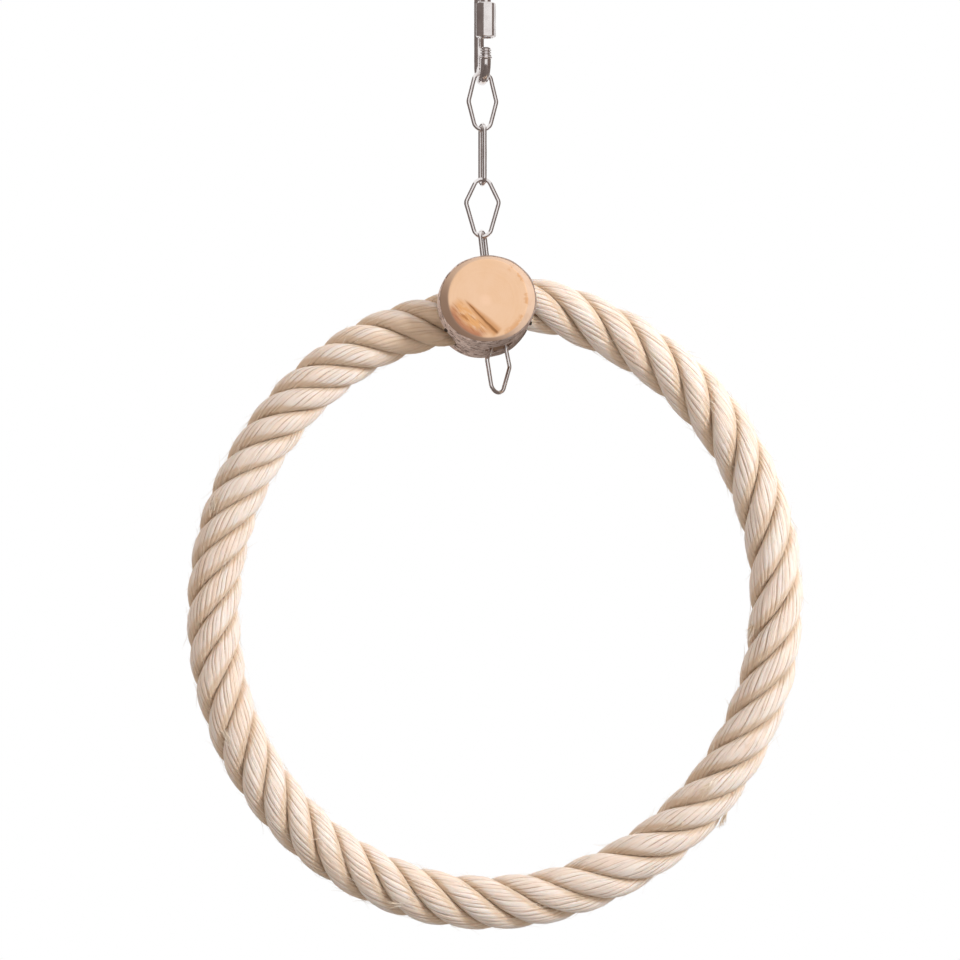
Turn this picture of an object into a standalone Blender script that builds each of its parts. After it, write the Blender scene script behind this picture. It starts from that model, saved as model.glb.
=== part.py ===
"""Hanging bird toy: a ring of laid sisal rope let into a short log, on a steel chain with a quick link.

Metres, +Z up, +X to the right and +Y away from the front. The origin is where a hook bears on the inside
of the quick link's upper bend.
"""

import math

import bmesh
import bpy
from mathutils import Matrix, Vector

# Fits
GAP = 0.0003  # between pieces that touch
CUT = 0.0100  # how far a cutter runs past what it cuts

# Quick link: a bent rod with two studs on its front leg, and a sleeve nut screwed up on the upper one
ROD_D = 0.0049
EYE_LENGTH = 0.0421  # inside, from bend to bend
EYE_WIDTH = 0.0120  # inside, from leg to leg
QUICK_LINK_TURN = math.radians(-78.5)  # of its plane about Z, so that the front leg stands to the fore
THREAD_D = 0.0054
COLLAR_D = 0.0059  # where the lower thread runs out
COLLAR_LENGTH = 0.0010
LOWER_STUD_LENGTH = 0.0054
UPPER_STUD_RECESS = 0.0010  # of the upper stud's end inside the nut
NUT_FLATS = 0.0090
NUT_LENGTH = 0.0169
NUT_DROP = 0.0020  # from the upper bend to the nut
NUT_TURN = math.radians(3.5)
NUT_CHAMFER = 0.0007
NUT_OPENING = 0.0049  # between the nut and the lower stud

# Chain: flared links reach out to a corner on each side, slim ones have straight legs
WIRE_D = 0.00205
SLIM_LENGTH = 0.03115
SLIM_WIDTH = 0.0085
FLARED_LENGTH = 0.0300
FLARED_CROWN_R = 0.0044  # of the wire's middle line
CORNER_R = 0.0035
FLARED = {"length": FLARED_LENGTH, "crown_r": FLARED_CROWN_R}
UPPER_FLARED = {**FLARED, "width": 0.0160, "widest": 0.51}
MIDDLE_FLARED = {**FLARED, "width": 0.0183, "widest": 0.40}
LOWEST_FLARED = {**FLARED, "width": 0.0172, "widest": 0.46}
SLIM = {"length": SLIM_LENGTH, "crown_r": (SLIM_WIDTH - WIRE_D) / 2, "width": SLIM_WIDTH, "widest": 0.50}
# From the top: the form of each link and how far its plane is turned from the front, in degrees. Those
# in the log have a roll as well.
UPPER_LINKS = ((UPPER_FLARED, 11.5), (SLIM, 109.0), (MIDDLE_FLARED, 0.0))
LOWER_LINKS = ((SLIM, 65.0, -6.0), (SLIM, -32.0, -10.6))
LOWEST_LINK = (LOWEST_FLARED, 43.0)
LOWEST_PITCH = math.radians(-17.0)  # by which the lowest link swings forward
LOWEST_ROLL = math.radians(2.5)  # and to the left

# Log
LOG_WIDTH = 0.0472  # over the bark
LOG_HEIGHT = 0.0428
LOG_LENGTH = 0.0440
BARK = 0.0005
FACE_D = 0.0385  # of the flat that the turned chamfer leaves at each end
CHAMFER_SLOPE = math.radians(40.0)  # from the flat
LOG_YAW = math.radians(3.9)
LOG_PITCH = math.radians(-8.0)
LOG_ROLL = math.radians(-4.9)
HOLE_PLAY = 0.0058  # by which the chain's hole is wider than a slim link
HOLE_SHIFT = 0.0048  # of the hole from the log's middle
SEAT_PLAY = 0.0008  # of the lowest link's shoulders in the hole's mouth

# Rope
ROPE_D = 0.0262  # over the strands
STRANDS = 4
LAY_RIGHT = 0.0882  # a strand's length of one turn, at the rope's right end
LAY_LEFT = 0.0657
LAY_PHASE = math.radians(43.0)  # of the first strand at the rope's right end, from its outer side
RING_LONG = 0.3167  # outside
RING_SHORT = 0.3008  # outside
RING_LEAN = math.radians(13.2)  # of its long way from upright, to the right
RING_SIDE = 0.0049  # of its middle from the log's, to the right
ROPE_BACK = 0.0035  # of the rope behind the log's middle
ROPE_DROP = 0.0002  # of the rope's crest from the log's middle
END_RISE = 0.0013  # by which the ring draws up to the log
END_RISE_SPAN = math.radians(22.0)
END_TILT = 0.0025  # by which its right end is lifted and its left end lowered, as the log is rolled
END_TILT_AT = math.radians(9.0)
SOCKET_WALL = 0.0020  # of wood left between a socket and the hole
SOCKET_ROOM = 0.0030  # behind the strands' slanted ends

# Nails
NAIL_SHANK_D = 0.0012
NAIL_LENGTH = 0.0100
NAIL_TIP = 0.0020
NAIL_HEAD_D = 0.0020
NAIL_HEAD = 0.0005
NAIL_PLACE = math.radians(31.0)  # round the log, below its widest
NAIL_FORWARD = 0.0080  # of the nails' heads from the log's middle
NAIL_SLANT = math.radians(25.0)  # of the nails, back into the rope

# Facets
BEND_STEPS = 6
CORNER_STEPS = 3
ROUND_STEPS = 48
BORE_STEPS = 24
SOCKET_SIDES = 16
STEPS_PER_TURN = 10
ROUTE_STEPS = 1440
HEART_POINTS = 52

WIRE_R = WIRE_D / 2
HOLE_D = SLIM_WIDTH + HOLE_PLAY


def clear_scene():
    for obj in list(bpy.data.objects):
        bpy.data.objects.remove(obj, do_unlink=True)


def new_collection(name, cutters=False):
    collection = bpy.data.collections.new(name)
    bpy.context.scene.collection.children.link(collection)
    collection.hide_render = cutters
    return collection


def new_material(name, colour, roughness, metallic=0.0):
    material = bpy.data.materials.new(name)
    material.use_nodes = True
    shader = material.node_tree.nodes["Principled BSDF"]
    shader.inputs["Base Color"].default_value = (*colour, 1.0)
    shader.inputs["Roughness"].default_value = roughness
    shader.inputs["Metallic"].default_value = metallic
    return material


clear_scene()
TOY = new_collection("sisal_ring_bird_toy")
CUTTERS = new_collection("cutters", cutters=True)
STEEL = new_material("steel", (0.55, 0.54, 0.52), 0.25, 1.0)
WOOD = new_material("wood", (0.80, 0.55, 0.36), 0.60)
BARK_SKIN = new_material("bark", (0.28, 0.22, 0.19), 0.85)
SISAL = new_material("sisal", (0.82, 0.66, 0.47), 0.90)


def spread(first, last, steps):
    """Evenly spaced numbers, both ends included."""
    return [first + (last - first) * i / steps for i in range(steps + 1)]


def place(obj, material, matrix=None):
    """Puts a finished sub-part in the toy's collection."""
    TOY.objects.link(obj)
    obj.data.materials.append(material)
    obj.matrix_world = matrix or Matrix()
    return obj


def place_cutter(obj, matrix):
    CUTTERS.objects.link(obj)
    obj.matrix_world = matrix
    obj.hide_render = True
    obj.display_type = "WIRE"
    return obj


def smooth(obj):
    obj.data.shade_smooth()
    obj.data.set_sharp_from_angle(angle=math.radians(35.0))
    return obj


def wire(name, points, diameter, closed=False, resolution=2, widths=None):
    """A round rod along points. widths holds its diameter at each point, where that varies."""
    curve = bpy.data.curves.new(name, "CURVE")
    curve.dimensions = "3D"
    curve.bevel_depth = diameter / 2
    curve.bevel_resolution = resolution
    curve.use_fill_caps = True
    spline = curve.splines.new("POLY")
    spline.points.add(len(points) - 1)
    for i, point in enumerate(points):
        spline.points[i].co = (*point, 1.0)
        spline.points[i].radius = widths[i] / diameter if widths else 1.0
    spline.use_cyclic_u = closed
    spline.use_smooth = True
    return bpy.data.objects.new(name, curve)


def meshed(curve_object):
    """The same rod as a closed mesh, which a Boolean can cut or cut with."""
    name = curve_object.name
    bpy.context.scene.collection.objects.link(curve_object)
    bpy.context.view_layer.update()
    evaluated = curve_object.evaluated_get(bpy.context.evaluated_depsgraph_get())
    mesh = bpy.data.meshes.new_from_object(evaluated)
    bpy.data.objects.remove(curve_object, do_unlink=True)
    shape = bmesh.new()
    shape.from_mesh(mesh)
    bmesh.ops.remove_doubles(shape, verts=shape.verts, dist=1e-6)
    bmesh.ops.recalc_face_normals(shape, faces=shape.faces)
    shape.to_mesh(mesh)
    shape.free()
    mesh.name = name
    return bpy.data.objects.new(name, mesh)


def prism(name, width, height, length, sides):
    """A round, oval or many-sided bar along its own Z, with its middle at the origin."""
    mesh = bpy.data.meshes.new(name)
    shape = bmesh.new()
    bmesh.ops.create_cone(shape, cap_ends=True, segments=sides, radius1=0.5, radius2=0.5, depth=length)
    bmesh.ops.scale(shape, vec=(width, height, 1.0), verts=shape.verts)
    shape.to_mesh(mesh)
    shape.free()
    return bpy.data.objects.new(name, mesh)


def turned(name, profile, steps):
    """A shape turned about its own Z from (radius, height) points, listed from top to bottom."""
    mesh = bpy.data.meshes.new(name)
    edges = [(i, i + 1) for i in range(len(profile) - 1)]
    mesh.from_pydata([(radius, 0.0, height) for radius, height in profile], edges, [])
    obj = bpy.data.objects.new(name, mesh)
    screw = obj.modifiers.new("turn", "SCREW")
    screw.steps = screw.render_steps = steps
    screw.use_merge_vertices = True
    screw.merge_threshold = 1e-5
    return obj


def boolean(obj, other, operation="DIFFERENCE"):
    modifier = obj.modifiers.new(f"{operation.lower()}_{other.name}", "BOOLEAN")
    modifier.operation = operation
    modifier.solver = "EXACT"
    modifier.object = other


def quick_link():
    """The quick link's two pieces, and the middle of the rod at its lower bend."""
    turn = Matrix.Rotation(QUICK_LINK_TURN, 4, "Z")
    bend_r = (EYE_WIDTH + ROD_D) / 2
    top_z = ROD_D / 2 - bend_r
    low_z = bend_r - ROD_D / 2 - EYE_LENGTH
    nut_top = top_z - NUT_DROP
    nut_low = nut_top - NUT_LENGTH
    stud_top = nut_low - NUT_OPENING
    stud_low = stud_top - LOWER_STUD_LENGTH
    collar_top = stud_low + COLLAR_LENGTH

    def bend(z, first, last):
        angles = [math.radians(a) for a in spread(first, last, 2 * BEND_STEPS)]
        return [((bend_r * math.cos(a), 0.0, z + bend_r * math.sin(a)), ROD_D) for a in angles]

    lower_stud = [
        (stud_top, ROD_D),
        (stud_top - GAP, THREAD_D),
        (collar_top + GAP, THREAD_D),
        (collar_top, COLLAR_D),
        (stud_low, COLLAR_D),
        (stud_low - GAP, ROD_D),
    ]
    upper_stud = [
        (nut_top - GAP, ROD_D),
        (nut_top - 2 * GAP, THREAD_D),
        (nut_low + UPPER_STUD_RECESS + GAP, THREAD_D),
        (nut_low + UPPER_STUD_RECESS, ROD_D),
    ]
    stations = [((bend_r, 0.0, z), width) for z, width in lower_stud]
    stations += bend(low_z, 0.0, -180.0)
    stations += bend(top_z, 180.0, 0.0)
    stations += [((bend_r, 0.0, z), width) for z, width in upper_stud]
    points = [point for point, _ in stations]
    widths = [width for _, width in stations]
    place(wire("quick_link_body", points, ROD_D, resolution=3, widths=widths), STEEL, turn)

    corners = NUT_FLATS / math.cos(math.pi / 6)
    half = NUT_LENGTH / 2
    nut_at = turn @ Matrix.Translation((bend_r, 0.0, (nut_top + nut_low) / 2))
    nut_at = nut_at @ Matrix.Rotation(NUT_TURN, 4, "Z")
    nut = place(prism("quick_link_nut", corners, corners, NUT_LENGTH, 6), STEEL, nut_at)
    rounding = [
        (0.0, half),
        (NUT_FLATS / 2 - GAP, half),
        (corners / 2, half - NUT_CHAMFER),
        (corners / 2, NUT_CHAMFER - half),
        (NUT_FLATS / 2 - GAP, -half),
        (0.0, -half),
    ]
    boolean(nut, place_cutter(turned("nut_rounding", rounding, BORE_STEPS), nut_at), "INTERSECT")
    bore_d = THREAD_D + 2 * GAP
    bore = prism("nut_bore", bore_d, bore_d, NUT_LENGTH + CUT, BORE_STEPS)
    boolean(nut, place_cutter(bore, nut_at))
    return Vector((0.0, 0.0, -EYE_LENGTH - ROD_D / 2))


def crown(radius, half_width, reach):
    """(x, z) points on one side of a link's end bend, from its middle down to the leg that runs to
    (half_width, -reach)."""
    x, z = half_width, radius - reach
    leg = math.atan2(z, x) + math.acos(min(1.0, radius / math.hypot(x, z)))
    return [
        (radius * math.cos(a), radius * math.sin(a) - radius)
        for a in spread(math.pi / 2, leg, BEND_STEPS)
    ]


def link_side(form, seat):
    """(x, z) points down the middle of a link's wire on its right side, from its top at (0, 0). The seat
    is the least radius that its upper bend needs."""
    drop = form["length"] - WIRE_D
    corner = Vector(((form["width"] - WIRE_D) / 2, -form["widest"] * drop))
    crown_r = form["crown_r"]
    upper = [Vector(p) for p in crown(max(crown_r, seat), corner.x, -corner.y)]
    lower = [Vector((x, -drop - z)) for x, z in crown(crown_r, corner.x, drop + corner.y)]
    lower.reverse()
    into = (corner - upper[-1]).normalized()
    out = (lower[0] - corner).normalized()
    bend = into.angle(out)
    if bend < math.radians(1.0):
        return upper + lower
    reach = CORNER_R * math.tan(bend / 2)
    start, end = corner - into * reach, corner + out * reach
    rounded = [
        start * (1 - t) ** 2 + corner * (2 * t * (1 - t)) + end * t**2
        for t in spread(0.0, 1.0, CORNER_STEPS)
    ]
    return upper + rounded + lower


def chain_link(name, form, turned_frame, pivot, support_r):
    """A link that hangs on a rod of radius support_r whose middle is at pivot. Returns the middle of
    its own wire at its lower end."""
    seat = support_r + WIRE_R + GAP
    side = link_side(form, seat)
    loop = side + [Vector((-p.x, p.y)) for p in reversed(side[1:-1])]
    points = [(p.x, 0.0, p.y + seat) for p in loop]
    place(wire(name, points, WIRE_D, closed=True), STEEL, Matrix.Translation(pivot) @ turned_frame)
    return pivot + turned_frame.to_3x3() @ Vector((0.0, 0.0, seat - form["length"] + WIRE_D))


def leaning(roll):
    """A turn by the log's yaw and pitch and a given roll."""
    yaw_and_pitch = Matrix.Rotation(LOG_YAW, 4, "Z") @ Matrix.Rotation(LOG_PITCH, 4, "X")
    return yaw_and_pitch @ Matrix.Rotation(roll, 4, "Y")


def chain(pivot):
    """All the links. Returns the middle of the lowest link where it has grown as wide as the log's hole."""
    support_r = ROD_D / 2
    lowest_turn = Matrix.Rotation(LOWEST_PITCH, 4, "X") @ Matrix.Rotation(LOWEST_ROLL, 4, "Y")
    links = [(form, degrees, Matrix()) for form, degrees in UPPER_LINKS]
    links += [(form, degrees, leaning(math.radians(roll))) for form, degrees, roll in LOWER_LINKS]
    links.append((*LOWEST_LINK, lowest_turn))
    for number, (form, degrees, lean) in enumerate(links, 1):
        frame = lean @ Matrix.Rotation(math.radians(degrees), 4, "Z")
        hung_at = pivot
        pivot = chain_link(f"chain_link_{number}", form, frame, hung_at, support_r)
        support_r = WIRE_R
    return hung_at + frame.to_3x3() @ Vector((0.0, 0.0, WIRE_D + GAP - shoulder_drop()))


def shoulder_drop():
    """How far below its upper wire's middle the lowest link has grown as wide as the log's hole."""
    side = link_side(LOWEST_FLARED, WIRE_D + GAP)
    start, end = side[BEND_STEPS], side[BEND_STEPS + 1]
    along = (end - start).normalized()
    outward = Vector((-along.y, along.x))
    edge = start + outward * WIRE_R
    return -(edge + along * ((HOLE_D / 2 - SEAT_PLAY - edge.x) / along.x)).y


def route_radius(angle):
    """The rope's middle line, from the ring's middle. The angle runs clockwise from straight up."""
    long_r, short_r = (RING_LONG - ROPE_D) / 2, (RING_SHORT - ROPE_D) / 2
    turn = angle - RING_LEAN
    oval = long_r * short_r / math.hypot(short_r * math.cos(turn), long_r * math.sin(turn))
    from_log = angle if angle < math.pi else angle - 2 * math.pi
    tilt = from_log / END_TILT_AT
    rise = END_RISE * math.exp(-((from_log / END_RISE_SPAN) ** 2))
    return oval + rise + END_TILT * tilt * math.exp((1 - tilt**2) / 2)


def route_point(angle):
    radius = route_radius(angle)
    return Vector((radius * math.sin(angle), 0.0, radius * math.cos(angle)))


def angle_at(x):
    """The angle where the route, near the log, is x to the right of the ring's middle."""
    angle = 0.0
    for _ in range(20):
        angle = math.asin(x / route_radius(angle))
    return angle


def route_between(first, last):
    """Points along the route at equal angles, with the distance to each."""
    points = [route_point(a) for a in spread(first, last, ROUTE_STEPS)]
    distances = [0.0]
    for a, b in zip(points, points[1:]):
        distances.append(distances[-1] + (b - a).length)
    return points, distances


def along_route(points, distances, wanted):
    """The point, direction and outward direction at each of the wanted distances, in rising order."""
    found = []
    i = 0
    for distance in wanted:
        while i < len(distances) - 2 and distances[i + 1] < distance:
            i += 1
        step = points[i + 1] - points[i]
        share = (distance - distances[i]) / (distances[i + 1] - distances[i])
        forward = step.normalized()
        found.append((points[i] + step * share, forward, Vector((-forward.z, 0.0, forward.x))))
    return found


def helix_gap(radius, lay):
    """The least distance between the middle lines of two neighbouring strands."""
    rise = lay / (2 * math.pi)
    apart = 2 * math.pi / STRANDS
    turns = [-i * apart / 200 for i in range(200)]
    return min(math.hypot(2 * radius * math.sin((apart + t) / 2), rise * t) for t in turns)


def strand_diameter():
    """The thickest round strand that lies GAP from its neighbours where the rope is bent the most."""
    low, high = 0.0, ROPE_D / 2
    facet = math.cos(math.pi / STEPS_PER_TURN)
    for _ in range(40):
        middle = (low + high) / 2
        radius = (ROPE_D - middle) / 2
        lay = min(LAY_RIGHT, LAY_LEFT) * (1 - 2 * radius / (RING_SHORT - ROPE_D))
        if helix_gap(radius * facet, lay) > middle + GAP:
            low = middle
        else:
            high = middle
    return low


def strand_stations(length):
    """Distances along the rope, STEPS_PER_TURN to each turn of the lay, and the lay's angle at each."""
    turns = length * math.log(LAY_RIGHT / LAY_LEFT) / (LAY_RIGHT - LAY_LEFT)
    steps = math.ceil(turns * STEPS_PER_TURN)
    shares = spread(0.0, 1.0, steps)
    distances = [length * (1 - (LAY_LEFT / LAY_RIGHT) ** s) / (1 - LAY_LEFT / LAY_RIGHT) for s in shares]
    return distances, [LAY_PHASE + 2 * math.pi * turns * s for s in shares]


def rope(ring_at, right_end, left_end, nail_cutters):
    """The strands and the heart, from the socket on the right, round the ring, to the one on the left."""
    points, distances = route_between(right_end, 2 * math.pi + left_end)
    strand_d = strand_diameter()
    strand_r = (ROPE_D - strand_d) / 2
    stops, lay_angles = strand_stations(distances[-1])
    frames = along_route(points, distances, stops)
    lines = []
    for number in range(STRANDS):
        line = []
        for (point, forward, outward), lay_angle in zip(frames, lay_angles):
            a = lay_angle + 2 * math.pi * number / STRANDS
            across = outward * math.cos(a) + forward.cross(outward) * math.sin(a)
            line.append(point + across * strand_r)
        strand = meshed(wire(f"rope_strand_{number + 1}", line, strand_d))
        smooth(place(strand, SISAL, ring_at))
        for cutter in nail_cutters:
            boolean(strand, cutter)
        lines.append(line)
    least = min((a - b).length for line, other in zip(lines, lines[1:]) for a in line for b in other)
    apart = least - strand_d
    print(f"strands {strand_d * 1000:.2f} mm thick, at least {apart * 1000:.2f} mm apart at their points")

    heart_r = strand_r * math.cos(math.pi / STEPS_PER_TURN) - strand_d / 2 - GAP
    middle = [p for p, _, _ in along_route(points, distances, spread(0.0, distances[-1], HEART_POINTS))]
    place(wire("rope_heart", middle, 2 * heart_r), SISAL, ring_at)


def sockets(ring_at, right_end, left_end):
    """Cutters for the bores that take the rope's ends."""
    bore_d = (ROPE_D + 2 * GAP) / math.cos(math.pi / SOCKET_SIDES)
    made = []
    for name, end in (("socket_right", right_end), ("socket_left", left_end)):
        side = math.copysign(1.0, end)
        radius = route_radius(end)
        floor = end - side * SOCKET_ROOM / radius
        mouth = end + side * (LOG_WIDTH / 2 + CUT) / radius
        line = [route_point(a) for a in spread(floor, mouth, BEND_STEPS)]
        cutter = meshed(wire(name, line, bore_d, resolution=SOCKET_SIDES // 2 - 2))
        made.append(place_cutter(cutter, ring_at))
    return made


def nails(log_at):
    """Both nails, and the cutters for the bores that they sit in."""
    profile = [
        (0.0, NAIL_HEAD),
        (NAIL_HEAD_D / 2, NAIL_HEAD),
        (NAIL_HEAD_D / 2, 0.0),
        (NAIL_SHANK_D / 2, 0.0),
        (NAIL_SHANK_D / 2, NAIL_TIP - NAIL_LENGTH),
        (0.0, -NAIL_LENGTH),
    ]
    bore_d = NAIL_SHANK_D + 2 * GAP
    cutters = []
    for name, side in (("rope_nail_right", 1.0), ("rope_nail_left", -1.0)):
        x, z = side * math.cos(NAIL_PLACE), -math.sin(NAIL_PLACE)
        outward = Vector((x / LOG_WIDTH, 0.0, z / LOG_HEIGHT)).normalized()
        seat = Vector((x * LOG_WIDTH / 2, -NAIL_FORWARD, z * LOG_HEIGHT / 2)) + outward * GAP
        nail_at = log_at @ Matrix.Translation(seat) @ outward.to_track_quat("Z", "Y").to_matrix().to_4x4()
        nail_at = nail_at @ Matrix.Rotation(-side * NAIL_SLANT, 4, "Y")
        place(turned(name, profile, BORE_STEPS // 2), STEEL, nail_at)
        bore = prism(f"{name}_bore", bore_d, bore_d, NAIL_LENGTH + GAP + CUT, BORE_STEPS // 2)
        bore_at = nail_at @ Matrix.Translation((0.0, 0.0, (CUT - NAIL_LENGTH - GAP) / 2))
        cutters.append(place_cutter(bore, bore_at))
    return cutters


def log(log_at, cutters):
    """The log and its bark, each an oval bar along the log, ended by the same turned chamfer."""
    lying = log_at @ Matrix.Rotation(math.radians(90.0), 4, "X")
    half = LOG_LENGTH / 2
    rim_r = max(LOG_WIDTH, LOG_HEIGHT) / 2 + CUT
    rim = half - (rim_r - FACE_D / 2) * math.tan(CHAMFER_SLOPE)
    profile = [
        (0.0, half),
        (FACE_D / 2, half),
        (rim_r, rim),
        (rim_r, -rim),
        (FACE_D / 2, -half),
        (0.0, -half),
    ]
    envelope = place_cutter(turned("log_chamfers", profile, ROUND_STEPS), lying)

    def oval(name, inset, length):
        return prism(name, LOG_WIDTH - 2 * inset, LOG_HEIGHT - 2 * inset, length, ROUND_STEPS)

    wood = place(oval("wood_block", BARK + GAP, LOG_LENGTH), WOOD, lying)
    bark = place(oval("block_bark", 0.0, LOG_LENGTH), BARK_SKIN, lying)
    boolean(bark, place_cutter(oval("bark_inside", BARK, LOG_LENGTH + CUT), lying))
    for obj in (wood, bark):
        boolean(obj, envelope, "INTERSECT")
        for cutter in cutters:
            boolean(obj, cutter)
        smooth(obj)


def ring(shoulders):
    """The log and the rope, with the mouth of the log's hole seated on the shoulders of the lowest link."""
    log_turn = leaning(LOG_ROLL)
    up = log_turn.to_3x3() @ Vector((0.0, 0.0, 1.0))
    on_hole = shoulders + up * (GAP + LOG_HEIGHT / 2)
    hole_at = Matrix.Translation(on_hole) @ log_turn
    log_at = hole_at @ Matrix.Translation((-HOLE_SHIFT, 0.0, 0.0))
    log_middle = log_at.translation
    ring_middle = log_middle + Vector((RING_SIDE, ROPE_BACK, -ROPE_DROP - route_radius(0.0)))
    ring_at = Matrix.Translation(ring_middle)
    hole_x = on_hole.x - ring_middle.x
    reach = HOLE_D / 2 + SOCKET_WALL + SOCKET_ROOM
    right_end, left_end = angle_at(hole_x + reach), angle_at(hole_x - reach)

    hole = place_cutter(prism("chain_hole", HOLE_D, HOLE_D, LOG_HEIGHT + CUT, BORE_STEPS), hole_at)
    nail_cutters = nails(log_at)
    log(log_at, [hole, *sockets(ring_at, right_end, left_end), *nail_cutters])
    rope(ring_at, right_end, left_end, nail_cutters)

    carrier = bpy.data.objects.new("ring_spin_axis", None)
    TOY.objects.link(carrier)
    carrier.matrix_world = hole_at
    bpy.context.view_layer.update()
    for obj in TOY.objects:
        if obj.name.startswith(("wood_", "block_", "rope_")):
            obj.parent = carrier
            obj.matrix_parent_inverse = carrier.matrix_world.inverted()


ring(chain(quick_link()))
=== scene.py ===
"""Looks of the hanging rope ring: its rope, log, chain and quick link in full, in plain studio light.

Metres, +Z up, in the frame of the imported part: the origin is where a hook bears on the quick link.
"""

import math

import bmesh
import bpy
import numpy as np
from mathutils import Matrix, Vector

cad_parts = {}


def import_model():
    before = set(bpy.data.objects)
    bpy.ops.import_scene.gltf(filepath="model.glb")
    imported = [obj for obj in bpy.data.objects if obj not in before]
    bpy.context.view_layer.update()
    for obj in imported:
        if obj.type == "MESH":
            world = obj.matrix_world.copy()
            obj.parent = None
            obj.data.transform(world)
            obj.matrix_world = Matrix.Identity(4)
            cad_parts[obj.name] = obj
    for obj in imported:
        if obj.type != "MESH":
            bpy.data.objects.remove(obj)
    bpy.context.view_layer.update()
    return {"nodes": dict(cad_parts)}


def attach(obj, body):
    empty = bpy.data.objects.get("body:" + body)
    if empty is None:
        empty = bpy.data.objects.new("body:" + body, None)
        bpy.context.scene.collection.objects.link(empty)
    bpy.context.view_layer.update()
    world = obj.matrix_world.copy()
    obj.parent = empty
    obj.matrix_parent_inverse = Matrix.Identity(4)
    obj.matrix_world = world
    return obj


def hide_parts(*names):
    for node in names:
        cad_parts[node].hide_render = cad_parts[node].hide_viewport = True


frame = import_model()
CHANCE = np.random.default_rng(11)

# Fits
GAP = 0.0003  # between pieces that touch

# Quick link
ROD_D = 0.0049
EYE_LENGTH = 0.0421
EYE_WIDTH = 0.0120
QUICK_LINK_TURN = math.radians(-78.5)
THREAD_D = 0.0054
THREAD_DEPTH = 0.00045
THREAD_PITCH = 0.00128
COLLAR_D = 0.0059
COLLAR_LENGTH = 0.0010
LOWER_STUD_LENGTH = 0.0054
UPPER_STUD_RECESS = 0.0010
NUT_FLATS = 0.0090
NUT_LENGTH = 0.0169
NUT_DROP = 0.0020
NUT_TURN = math.radians(3.5)
NUT_CHAMFER = 0.0007
NUT_EDGE = 0.0003  # rounding of the nut's long edges
NUT_OPENING = 0.0049  # between the nut and the lower stud
COLLAR_EDGE = 0.0003  # rounding of the collar
FILLET = 0.0002  # between the collar and the rod
STUD_EDGE = 0.0002  # height of the step at a stud's end
STUD_BEVELS = (0.0006, 0.0004)  # how much less than the thread's radius it has, at its end and its root
BORE_EDGE = 0.0004  # bevel at the ends of the nut's bore

# Chain
WIRE_D = 0.00205
SLIM_LENGTH = 0.03115
SLIM_WIDTH = 0.0085
FLARED_LENGTH = 0.0300
FLARED_CROWN_R = 0.0044
CORNER_R = 0.0035
WELD_SWELL = 0.00010  # of the wire's radius where a link is welded
WELD_LENGTH = 0.0016
FLARED = {"length": FLARED_LENGTH, "crown_r": FLARED_CROWN_R}
UPPER_FLARED = {**FLARED, "width": 0.0160, "widest": 0.51}
MIDDLE_FLARED = {**FLARED, "width": 0.0183, "widest": 0.40}
LOWEST_FLARED = {**FLARED, "width": 0.0172, "widest": 0.46}
SLIM = {"length": SLIM_LENGTH, "crown_r": (SLIM_WIDTH - WIRE_D) / 2, "width": SLIM_WIDTH, "widest": 0.50}
# From the top: each link's form and turn in degrees, and for those in the log a roll as well
UPPER_LINKS = ((UPPER_FLARED, 11.5), (SLIM, 109.0), (MIDDLE_FLARED, 0.0))
LOWER_LINKS = ((SLIM, 65.0, -6.0), (SLIM, -32.0, -10.6))
LOWEST_LINK = (LOWEST_FLARED, 43.0)
LOWEST_PITCH = math.radians(-17.0)
LOWEST_ROLL = math.radians(2.5)

# Log
LOG_MIDDLE = Vector((0.001212, -0.005442, -0.156101))
LOG_WIDTH = 0.0472
LOG_HEIGHT = 0.0428
LOG_LENGTH = 0.0440
BARK = 0.0005
BARK_PLAY = 0.0001
FACE_D = 0.0385
FACE_EDGE = 0.0007  # rounding where the face meets the chamfer
CHAMFER_SLOPE = math.radians(40.0)
LOG_YAW = math.radians(3.9)
LOG_PITCH = math.radians(-8.0)
LOG_ROLL = math.radians(-4.9)
HOLE_D = 0.0143
HOLE_SHIFT = 0.0048
MOUTH_DEPTH = 0.0050  # of the flare at the top of the chain's hole
MOUTH_FLARE = 0.0030
BARK_ROUGH = 0.00022  # how far the bark's ridges stand up
BARK_WAVES = [
    (CHANCE.uniform(0.0009, 0.0040), int(CHANCE.integers(-9, 10)), CHANCE.uniform(0.0, 2 * math.pi))
    for _ in range(14)
]
PITH = (-0.0012, -0.0007)  # x and z on the log's own axes, as the streak and the marks are
STREAK_START = (-0.0113, 0.0001)
STREAK_LENGTH = 0.0226
STREAK_FALL = math.radians(50.7)
STREAK_HALF_WIDTH = (0.00035, 0.00115)  # at its start and its end
STREAK_SWAY = 0.0014

# Rope
RING_MIDDLE = np.array((0.006112, -0.001942, -0.302402))
ROPE_D = 0.0262
ROPE_RIGHT = 0.012017  # of the rope's right end from the ring's middle
ROPE_LEFT = -0.012283
STRANDS = 4
LAY_RIGHT = 0.0882
LAY_LEFT = 0.0657
LAY_PHASE = math.radians(43.0)
RING_LONG = 0.3167
RING_SHORT = 0.3008
RING_LEAN = math.radians(13.2)
END_RISE = 0.0013
END_RISE_SPAN = math.radians(22.0)
END_TILT = 0.0025
END_TILT_AT = math.radians(9.0)
SOCKET_ROOM = 0.0030
SOCKET_SWEEP = 0.30  # round the ring, in radians
STRAND_HIGH = 0.0051  # from a strand's middle to its crest
STRAND_WIDE = 0.0068  # from a strand's middle to its sides, which press into those of its neighbours
CREASE_TOP = 0.0122  # from the rope's middle line to where the painted shade of the creases between strands begins
CREASE_DEPTH = 0.0030
TAN_FLANK = 0.0015  # how much further up the painted shade of a crease goes on the flank of a strand that is turned from the light
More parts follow.
